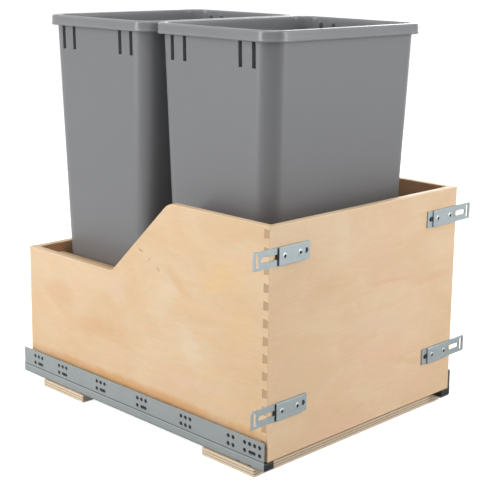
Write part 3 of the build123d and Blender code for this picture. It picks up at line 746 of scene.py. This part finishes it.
# black strips standing in for the shade behind the rail holes
def hole_shade_strips():
    """A thin black strip on the inside of each rail's web, put there as painted shade seen
    through its holes.
    """
    for name, side in sides.items():
        low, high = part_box(f"cabinet_rail_{name}")
        web = max(abs(low[0]), abs(high[0])) - web_steel
        near, far = web - strip_thickness, web + strip_overlap
        front, back = low[1] + strip_from_front, high[1] - strip_from_rear
        form = bmesh.new()
        add_block(form, side, near, far, front, back, low[2] + strip_height, strip_rise)
        mesh = mesh_of(form, f"damping_strip_{name}")
        mesh.materials.append(black_plastic)
        add_piece(mesh.name, mesh, body_of_node[f"cabinet_rail_{name}"], slot="black_plastic")


hole_shade_strips()


# ---- screws ----


screw_sizes = ("Head Radius", "Dome", "Rim", "Shank Radius", "Recess Length")
head_sides = 32
shank_sides = 24
bore_sides = 16
bore_top, bore_bottom = 1.3, 0.9  # of the recess's width
recess_width_share = 0.34
recess_depth_share = 0.15
screw_edge = 0.08 * mm


def screw_tree():
    """Domed screws with a cross recess, one on each point of the mesh it is given."""
    numbers = (*screw_sizes, "Shank Length", "Recess Width", "Recess Depth")
    others = {"Turn": "Vector", "Steel": "Material"}
    tree, given, keys = tree_with_inputs("cross_recess_screws", numbers, others)

    def hanging_cylinder(around, radius, depth):
        sizes = {"Vertices": around, "Radius": given[radius], "Depth": given[depth]}
        cylinder = tree.add("GeometryNodeMeshCylinder", sizes)
        down = tree.combine(z=tree.math("MULTIPLY", given[depth], -0.5))
        return tree.transform(cylinder, Translation=down)

    ball = {"Segments": head_sides, "Rings": head_sides // 2, "Radius": 1.0}
    dome = tree.add("GeometryNodeMeshUVSphere", ball)
    flat = tree.combine(given["Head Radius"], given["Head Radius"], given["Dome"])
    dome = tree.transform(dome, Scale=flat)
    rim = hanging_cylinder(head_sides, "Head Radius", "Rim")
    shank = hanging_cylinder(shank_sides, "Shank Radius", "Shank Length")
    solid = tree.union(dome, rim, shank)
    deep = tree.math("MULTIPLY", given["Recess Depth"], 2.0)
    wings = []
    for first, second in (("Recess Length", "Recess Width"), ("Recess Width", "Recess Length")):
        size = tree.combine(given[first], given[second], deep)
        wings.append(tree.add("GeometryNodeMeshCube", {"Size": size}))
    bore = tree.add(
        "GeometryNodeMeshCone",
        {
            "Vertices": bore_sides,
            "Radius Top": tree.math("MULTIPLY", given["Recess Width"], bore_top),
            "Radius Bottom": tree.math("MULTIPLY", given["Recess Width"], bore_bottom),
            "Depth": deep,
        },
    )
    centred = tree.combine(z=tree.math("MULTIPLY", given["Recess Depth"], -1.0))
    bore = tree.transform(bore, Translation=centred)
    recess = tree.union(*wings, bore)
    recess = tree.transform(recess, Translation=tree.combine(z=given["Dome"]))
    screw = tree.cut(solid, recess)
    screws = tree.add(
        "GeometryNodeInstanceOnPoints",
        {"Points": given["Geometry"], "Instance": screw, "Rotation": given["Turn"]},
    )
    finish_tree(tree, screws, given["Steel"])
    return tree, keys


screw_tools = screw_tree()
upright = (0.0, 0.0, 0.0)
facing_front = (pi / 2, 0.0, 0.0)


def clusters(node):
    """The boxes of a node's separate solids."""
    form = merged_form(node)
    left = set(form.verts)
    found = []
    while left:
        heap = [left.pop()]
        group = []
        while heap:
            vert = heap.pop()
            group.append(vert.co.copy())
            for edge in vert.link_edges:
                other = edge.other_vert(vert)
                if other in left:
                    left.remove(other)
                    heap.append(other)
        low = Vector(min(place[axis] for place in group) for axis in range(3))
        high = Vector(max(place[axis] for place in group) for axis in range(3))
        found.append((low, high))
    form.free()
    return found


def screws(node, sizes, finish, turn):
    """New screws where a node's solids are; sizes is screw_sizes in millimetres."""
    values = {label: size * mm for label, size in zip(screw_sizes, sizes)}
    dome, recess = values["Dome"], values["Recess Length"]
    along = 1 if turn is facing_front else 2
    places = []
    for low, high in clusters(node):
        place = (low + high) / 2
        place[along] = low[1] + dome if along == 1 else high[2] - dome
        length = high[along] - low[along] - dome
        places.append(place)
    values |= {
        "Shank Length": length,
        "Recess Width": recess * recess_width_share,
        "Recess Depth": dome + recess * recess_depth_share,
        "Turn": turn,
        "Steel": finish,
    }
    made = from_nodes(points_mesh(node + "_new", places), *screw_tools, values)
    ease_edges(made, screw_edge, 1)
    add_piece(node + "_new", made, body_of_node[node], node, slot="screw_steel")


clamp_face = lowest("bracket_clamp_upper_left", "Y")
bracket_screw_zinc = sheet_steel(
    "bracket_screw_steel",
    (190, 197, 198),
    (160, 168, 170),
    0.40,
    "Z",
    recess=("Y", clamp_face - 0.1, clamp_face + 0.1),
)
screws("bracket_screws", (4.6, 0.6, 0.3, 2.1, 5.2), bracket_screw_zinc, facing_front)
screws("rail_screws", (3.6, 0.9, 0.9, 2.0, 4.0), rail_screw_zinc, upright)
dress("locking_screws", rail_screw_zinc)


# black blocks that are partly slot guides and partly painted shade beside the clamps
guide_shade_rise, guide_shade_proud = 6.6 * mm, 0.6 * mm
guide_shade_reach = 9 * mm  # behind the clamp
outer_peek, inner_peek = 3.4 * mm, 6 * mm
shadow_line_rise, shadow_line_proud = 23.0 * mm, 1.4 * mm
shadow_line_reach, shadow_line_peek = 4 * mm, 1.1 * mm


def guides_and_slot_shade():
    """Black guides that fill each bracket's slots behind its clamp and peek past its ends, dark
    to stand in for the shade there, and a black strip at the clamp's outer end as a painted
    shadow line.
    """
    for name, side in sides.items():
        for level in ("lower", "upper"):
            low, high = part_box(f"bracket_clamp_{level}_{name}")
            plate_low, plate_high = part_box(f"door_bracket_{level}_{name}")
            face, back = plate_low[1], plate_high[1]
            middle = (low[2] + high[2]) / 2
            inner, outer = sorted((abs(low[0]), abs(high[0])))
            form = bmesh.new()
            for near, far, proud, behind, rise in (
                (outer - guide_shade_reach, outer + outer_peek, guide_shade_proud, back, guide_shade_rise),
                (inner - inner_peek, inner + guide_shade_reach, guide_shade_proud, back, guide_shade_rise),
                # a painted shadow line at the clamp's outer end
                (outer - shadow_line_reach, outer + shadow_line_peek, shadow_line_proud, face, shadow_line_rise),
            ):
                add_block(form, side, near, far, face - proud, behind, middle, rise)
            mesh = mesh_of(form, f"slot_guides_{level}_{name}")
            ease_edges(mesh, plate_edge)
            mesh.materials.append(black_plastic)
            add_piece(mesh.name, mesh, "drawer", slot="black_plastic")


guides_and_slot_shade()


# ---- bins ----

bin_low, bin_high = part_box("front_bin")
bin_height = bin_high[2] - bin_low[2]
bin_wall = 2.5 * mm
bin_floor = 3.0 * mm
foot_round = 8.0 * mm
side_taper = 1.7
end_taper = 1.9
bin_sizes = {
    "Top": bin_high[2],
    "Rim Corner": 28.0 * mm,
    "Body Rounder": 7.0 * mm,  # how much rounder the body's corners are than the rim's
    "Over Side": 6.0 * mm,  # how far the rim stands out past the body
    "Over End": 7.0 * mm,
    "Side Slope": tan(radians(side_taper)),
    "End Slope": tan(radians(end_taper)),
    "Slot Width": 7.0 * mm,
    "Slot Length": 42.0 * mm,
    "Slot Round": 1.4 * mm,
    "Slot Drop": 30.5 * mm,  # rim's top to the slot's middle
    "Slot Near": 150.4 * mm,  # the bottom of the slots' blind pockets
    "Slot Far": 159.6 * mm,  # past the wall, short of the skirt
    "Slot Inner": 55.0 * mm,  # each pair's places before and behind the bin's middle
    "Slot Outer": 80.5 * mm,
    "Pocket Wall": 2.0 * mm,
    "Pocket Root": 155.3 * mm,  # inside the thickness of the wall
}
bin_steps = {"Corner Steps": 16, "Straight Steps": 6}
slot_corner_steps = 5
seam = 0.01 * mm  # points this close become one
bin_sharp = radians(28.0)
rim_lip = 2.6 * mm
rim_roll = 3.4 * mm
bead_over_skirt = 0.8 * mm

# How far inward and how far down, in millimetres: the skirt with its bead, then
# up behind it, and the wall that leaves the rim there.
skirt_profile = (
    *((0.80, 4.2), (0.80, 11.2), (0.72, 11.8), (0.30, 12.5), (0.05, 13.2)),
    *((0.00, 13.9), (0.10, 14.6), (0.45, 15.2), (1.05, 15.5), (1.75, 15.5)),
    *((2.45, 15.1), (2.80, 14.3), (2.80, 13.4), (2.80, 4.6), (3.10, 3.6)),
)
wall_under_rim = ((-0.9, 3.3), (-0.3, 3.7), (0, 4.6), (0, 6.0), (0, 62.0))
inner_drops = (530.0, 400.0, 260.0, 130.0, 62.0, 7.0)
outer_drops = (130.0, 260.0, 400.0, 528.0)
floor_reaches = (0.0, 0.5, 0.97)
quarter_turn = range(0, 91, 15)
lip_turn = range(0, 91, 18)


def bin_profile():
    """The wall from the middle of its floor up the inside, over the rim and down outside.

    Each row: 1 if it is measured from the rim's edge and 0 from the body, how
    far inward it lies, how far below the top, and its share of the full reach.
    """
    inner_round = foot_round - bin_floor
    floor_drop = bin_height - bin_floor
    rows = [(0, bin_wall + inner_round, floor_drop, reach) for reach in floor_reaches]
    for turn in quarter_turn:
        inward = bin_wall + inner_round * (1 - sin(radians(turn)))
        rows.append((0, inward, floor_drop - inner_round * (1 - cos(radians(turn))), 1.0))
    rows += [(0, bin_wall, drop * mm, 1.0) for drop in inner_drops]
    for turn in lip_turn:
        inward = bin_wall - rim_lip * (1 - cos(radians(turn)))
        rows.append((0, inward, rim_lip * (1 - sin(radians(turn))), 1.0))
    for turn in quarter_turn:
        inward = bead_over_skirt + rim_roll * (1 - sin(radians(turn)))
        rows.append((1, inward, rim_roll * (1 - cos(radians(turn))), 1.0))
    rows += [(1, inward * mm, drop * mm, 1.0) for inward, drop in skirt_profile]
    rows += [(0, inward * mm, drop * mm, 1.0) for inward, drop in wall_under_rim]
    rows += [(0, 0.0, drop * mm, 1.0) for drop in outer_drops]
    for turn in quarter_turn:
        inward = foot_round * (1 - cos(radians(turn)))
        drop = bin_height - foot_round * (1 - sin(radians(turn)))
        rows.append((0, inward, drop, 1.0))
    return rows + [(0, foot_round, bin_height, reach) for reach in reversed(floor_reaches)]


def profile_mesh(rows):
    mesh = bpy.data.meshes.new("bin_profile")
    mesh.from_pydata([(0, 0, -row[2]) for row in rows], [], [])
    for place, name in enumerate(("on_rim", "inward", "drop", "reach")):
        values = mesh.attributes.new(name, "FLOAT", "POINT")
        values.data.foreach_set("value", [row[place] for row in rows])
    return mesh


def bin_tree():
    """A rounded rectangular shell swept round its profile, with blind slots down both sides."""
    numbers = ("Rim Width", "Rim Length", "Middle", *bin_sizes)
    others = dict.fromkeys(bin_steps, "Int") | {"Plastic": "Material"}
    tree, given, keys = tree_with_inputs("moulded_bin", numbers, others)
    rows = tree.add("GeometryNodeAttributeDomainSize", {0: given["Geometry"]}, out=0)
    arc = given["Corner Steps"]
    straight = given["Straight Steps"]
    quarter = tree.math("ADD", tree.math("ADD", arc, straight), 1)
    columns = tree.math("MULTIPLY_ADD", quarter, 4, 1)
    grid = tree.add(
        "GeometryNodeMeshGrid", {"Vertices X": columns, "Vertices Y": rows}, out="Mesh"
    )
    index = tree.add("GeometryNodeInputIndex")
    column = tree.math("FLOOR", tree.math("DIVIDE", tree.math("ADD", index, 0.5), rows))
    row = tree.math("FLOORED_MODULO", index, rows)

    def from_profile(label):
        value = tree.add("GeometryNodeInputNamedAttribute", {"Name": label}, out="Attribute")
        return tree.add(
            "GeometryNodeSampleIndex",
            {"Geometry": given["Geometry"], "Value": value, "Index": row},
            out="Value",
        )

    on_rim, inward = from_profile("on_rim"), from_profile("inward")
    drop, reach = from_profile("drop"), from_profile("reach")
    on_body = tree.math("SUBTRACT", 1.0, on_rim)

    def half_size(full, over, slope):
        leaning = tree.math("MULTIPLY", tree.math("MULTIPLY_ADD", drop, slope, over), on_body)
        half = tree.math("MULTIPLY", full, 0.5)
        return tree.math("SUBTRACT", half, tree.math("ADD", leaning, inward))

    half_width = half_size(given["Rim Width"], given["Over Side"], given["Side Slope"])
    half_length = half_size(given["Rim Length"], given["Over End"], given["End Slope"])
    corner = tree.math("SUBTRACT", given["Rim Corner"], inward)
    rounder = tree.math("SUBTRACT", given["Body Rounder"], given["Over Side"])
    corner = tree.math("MULTIPLY_ADD", rounder, on_body, corner)

    turn = tree.math("FLOOR", tree.math("DIVIDE", tree.math("ADD", column, 0.5), quarter))
    within = tree.math("SUBTRACT", column, tree.math("MULTIPLY", turn, quarter))
    arc_share = tree.math("DIVIDE", within, arc, clamp=True)
    angle = tree.math("MULTIPLY", tree.math("ADD", turn, arc_share), pi / 2)
    past = tree.math("SUBTRACT", within, arc)
    near_corner = 0.012  # the share of a straight side left to its end columns
    ends = {0: past, 1: 1.0, 2: straight, 3: near_corner, 4: 1.0 - near_corner}
    run = tree.add("ShaderNodeMapRange", ends)
    run = tree.math("MULTIPLY", run, tree.math("GREATER_THAN", past, 0.5))

    def corner_sign(quarters):
        return tree.add(
            "ShaderNodeVectorRotate",
            {"Vector": (1, 1, 0), "Angle": tree.math("MULTIPLY", quarters, pi / 2)},
            rotation_type="Z_AXIS",
        )

    signs = tree.add(
        "ShaderNodeMix",
        {0: run, 4: corner_sign(turn), 5: corner_sign(tree.math("ADD", turn, 1.0))},
        out=1,
        data_type="VECTOR",
    )
    signs = tree.add("ShaderNodeSeparateXYZ", {0: signs}, out=None)

    def place(sign, half, wave):
        flat = tree.math("MULTIPLY", sign, tree.math("SUBTRACT", half, corner))
        bent = tree.math("MULTIPLY", corner, tree.math(wave, angle))
        return tree.math("MULTIPLY", tree.math("ADD", flat, bent), reach)

    across = place(signs.outputs[0], half_width, "COSINE")
    depth = tree.math("ADD", place(signs.outputs[1], half_length, "SINE"), given["Middle"])
    height = tree.math("SUBTRACT", given["Top"], drop)
    position = tree.combine(across, depth, height)
    shell = tree.add("GeometryNodeSetPosition", {"Geometry": grid, "Position": position})
    shell = tree.add("GeometryNodeMergeByDistance", {"Geometry": shell, "Distance": seam})
    shell = tree.add("GeometryNodeFlipFaces", {0: shell})

    # A pocket behind each slot is joined to the wall, then hollowed by the slot.
    def upright_bars(width, tall, rounding, near, far):
        outline = tree.add(
            "GeometryNodeCurvePrimitiveQuadrilateral", {"Width": tall, "Height": width}
        )
        outline = tree.add(
            "GeometryNodeFilletCurve",
            {"Curve": outline, "Radius": rounding, "Count": slot_corner_steps},
            mode="POLY",
        )
        plate = tree.add("GeometryNodeFillCurve", {0: outline}, mode="NGONS")
        pulled = tree.add(
            "GeometryNodeExtrudeMesh",
            {
                "Mesh": plate,
                "Offset Scale": tree.math("SUBTRACT", far, near),
                "Individual": False,
            },
        )
        closed = tree.joined(pulled, tree.add("GeometryNodeFlipFaces", {0: plate}))
        bar = tree.add("GeometryNodeMergeByDistance", {"Geometry": closed, "Distance": seam})
        half = tree.math("MULTIPLY", tree.math("SUBTRACT", far, near), -0.5)
        bar = tree.transform(bar, Translation=tree.combine(z=half))
        bar = tree.transform(bar, Rotation=(0, pi / 2, 0))
        slot_height = tree.math("SUBTRACT", given["Top"], given["Slot Drop"])
        middle = tree.math("MULTIPLY", tree.math("ADD", near, far), 0.5)
        left = tree.math("MULTIPLY", middle, -1.0)
        pairs = []
        for label in ("Slot Inner", "Slot Outer"):
            for way in (-1.0, 1.0):
                off = tree.math("MULTIPLY_ADD", given[label], way, given["Middle"])
                first, last = (tree.combine(place, off, slot_height) for place in (left, middle))
                line = {"Count": 2, "Start Location": first, "Offset": last}
                pairs.append(tree.add("GeometryNodeMeshLine", line, mode="END_POINTS"))
        bars = tree.add(
            "GeometryNodeInstanceOnPoints", {"Points": tree.joined(*pairs), "Instance": bar}
        )
        return tree.add("GeometryNodeRealizeInstances", {0: bars})

    grown = tree.math("MULTIPLY", given["Pocket Wall"], 2.0)
    pocket_width = tree.math("ADD", given["Slot Width"], grown)
    pocket_length = tree.math("ADD", given["Slot Length"], grown)
    pockets = upright_bars(
        pocket_width,
        pocket_length,
        tree.math("ADD", given["Slot Round"], given["Pocket Wall"]),
        tree.math("SUBTRACT", given["Slot Near"], given["Pocket Wall"]),
        given["Pocket Root"],
    )
    slots = upright_bars(
        given["Slot Width"],
        given["Slot Length"],
        given["Slot Round"],
        given["Slot Near"],
        given["Slot Far"],
    )
    finish_tree(tree, tree.cut(tree.union(shell, pockets), slots), given["Plastic"])
    return tree, keys


def make_bin(name, tools):
    low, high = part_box(name)
    own = {
        "Rim Width": high[0] - low[0],
        "Rim Length": high[1] - low[1],
        "Middle": (low[1] + high[1]) / 2,
        "Plastic": bin_plastic,
    }
    made = from_nodes(profile_mesh(bin_profile()), *tools, bin_sizes | bin_steps | own)
    made.name = name + "_shell"
    made.shade_smooth()
    made.set_sharp_from_angle(angle=bin_sharp)
    add_piece(name + "_shell", made, name, name, slot="grey_plastic")


bin_tools = bin_tree()
for name in ("front_bin", "rear_bin"):
    make_bin(name, bin_tools)


# ---- camera and light ----

camera_data = bpy.data.cameras.new("camera")
camera = bpy.data.objects.new("camera", camera_data)
bpy.context.scene.collection.objects.link(camera)
bpy.context.scene.camera = camera
picture = 490.0  # the photograph's width and height, in pixels
focal = 1196.0  # in pixels
optical_row = 196.0  # the pixel row that the camera faces
sensor = 36.0  # millimetres
eye = Vector((-1.2821, -1.2946, 0.6915))
pitch, roll, heading = 0.2019, 0.0121, -0.7884
camera_data.sensor_width = sensor
camera_data.lens = focal / picture * sensor
camera_data.shift_y = (optical_row - picture / 2) / picture
turned = Matrix(((cos(heading), sin(heading), 0), (-sin(heading), cos(heading), 0), (0, 0, 1)))
level = Matrix(((1, 0, 0), (0, 0, -1), (0, 1, 0)))
tipped = Matrix(((1, 0, 0), (0, cos(pitch), -sin(pitch)), (0, sin(pitch), cos(pitch))))
rolled = Matrix(((cos(roll), -sin(roll), 0), (sin(roll), cos(roll), 0), (0, 0, 1)))
right, down, ahead = rolled @ tipped @ level @ turned
aimed = Matrix((right, -down, -ahead)).transposed()
camera.matrix_world = Matrix.Translation(eye) @ aimed.to_4x4()
camera_data.clip_start, camera_data.clip_end = 0.05, 100


def softbox(name, place, aim, width, height, power):
    lamp = bpy.data.lights.new(name, "AREA")
    lamp.shape = "RECTANGLE"
    lamp.size, lamp.size_y = width, height
    lamp.energy = power
    stand = bpy.data.objects.new(name, lamp)
    stand.location = place
    stand.rotation_euler = (Vector(aim) - Vector(place)).to_track_quat("-Z", "Y").to_euler()
    bpy.context.scene.collection.objects.link(stand)


softbox("left_softbox", (-2.2, 1.0, 1.75), (0, 0.1, 1.3), 0.8, 3.4, 56)
softbox("right_softbox", (1.13, -2.12, 1.15), (0, 0, 0.5), 1.0, 2.2, 33)
softbox("far_softbox", (2.3, 1.0, 1.5), (0, 0, 0.4), 1.2, 2.4, 34)
softbox("front_softbox", (-2.0, -2.0, 1.1), (0, 0, 0.3), 1.2, 1.4, 4)
softbox("top_softbox", (-0.3, -0.3, 2.9), (0, 0, 0.3), 1.6, 1.6, 25)


def seen_directly(tree):
    """1 where a camera, a mirror-like surface or glass looks, and 0 for other light."""
    path = tree.add("ShaderNodeLightPath", out=None)
    seen = tree.math(
        "MAXIMUM", path.outputs["Is Camera Ray"], path.outputs["Is Glossy Ray"]
    )
    return tree.math("MAXIMUM", seen, path.outputs["Is Transmission Ray"])


floor_reach = 40.0
floor_grey = (0.62, 0.62, 0.62, 1)
# painted shade in reflections: the floor dims near the object's right
dim_spot, dim_reach = (0.8, -0.8, 0.0), (1.0, 2.4)
mirrored_glow = (0.05, 0.76)
shadow_reach, seen_glow = (0.8, 3.5), (0.86, 1.0)
floor_ways = ((-1, -1), (1, -1), (1, 1), (-1, 1))
floor_gap = 0.2 * mm  # under the cabinet, so that no two faces share a plane


def pale_floor():
    """Wide white floor that keeps a faint shadow under the cabinet.

    It shines in the camera's view and in reflections, where it is dimmed close
    to the object's right as a painted shade that the bins reflect, and it lights
    the object only by what falls on it.
    """
    material = bpy.data.materials.new("studio_floor")
    material.use_nodes = True
    tree = Tree(material.node_tree)
    material.node_tree.nodes.clear()
    matt = tree.add("ShaderNodeBsdfDiffuse", {"Color": floor_grey})
    place = tree.add("ShaderNodeTexCoord", out="Object")
    far_off = tree.vector("LENGTH", place, out=1)
    off_right = tree.vector("DISTANCE", place, dim_spot, out=1)
    mirrored = tree.add(
        "ShaderNodeMapRange",
        dict(enumerate((off_right, *dim_reach, *mirrored_glow))),
        interpolation_type="SMOOTHSTEP",
    )
    pure = dict(enumerate((far_off, *shadow_reach, *seen_glow)))
    pure = tree.add("ShaderNodeMapRange", pure)
    to_camera = tree.add("ShaderNodeLightPath", out="Is Camera Ray")
    strength = tree.add("ShaderNodeMix", {0: to_camera, 2: mirrored, 3: pure})
    strength = tree.math("MULTIPLY", seen_directly(tree), strength)
    glow = tree.add("ShaderNodeEmission", {"Strength": strength})
    both = tree.add("ShaderNodeAddShader", {0: matt, 1: glow})
    tree.add("ShaderNodeOutputMaterial", {"Surface": both}, out=None)
    mesh = bpy.data.meshes.new("studio_floor")
    corners = [(x * floor_reach, y * floor_reach, 0) for x, y in floor_ways]
    mesh.from_pydata(corners, [], [(0, 1, 2, 3)])
    mesh.materials.append(material)
    floor = bpy.data.objects.new("studio_floor", mesh)
    floor.location.z = -floor_gap
    bpy.context.scene.collection.objects.link(floor)


fill_light = 0.08


def studio_world():
    world = bpy.data.worlds.new("studio")
    bpy.context.scene.world = world
    world.use_nodes = True
    tree = Tree(world.node_tree)
    world.node_tree.nodes.clear()
    fill = tree.math("MULTIPLY_ADD", seen_directly(tree), 1.0 - fill_light, fill_light)
    light = tree.add("ShaderNodeBackground", {"Color": (1, 1, 1, 1), "Strength": fill})
    tree.add("ShaderNodeOutputWorld", {"Surface": light}, out=None)


pale_floor()
studio_world()
bpy.context.scene.view_settings.view_transform = "Standard"
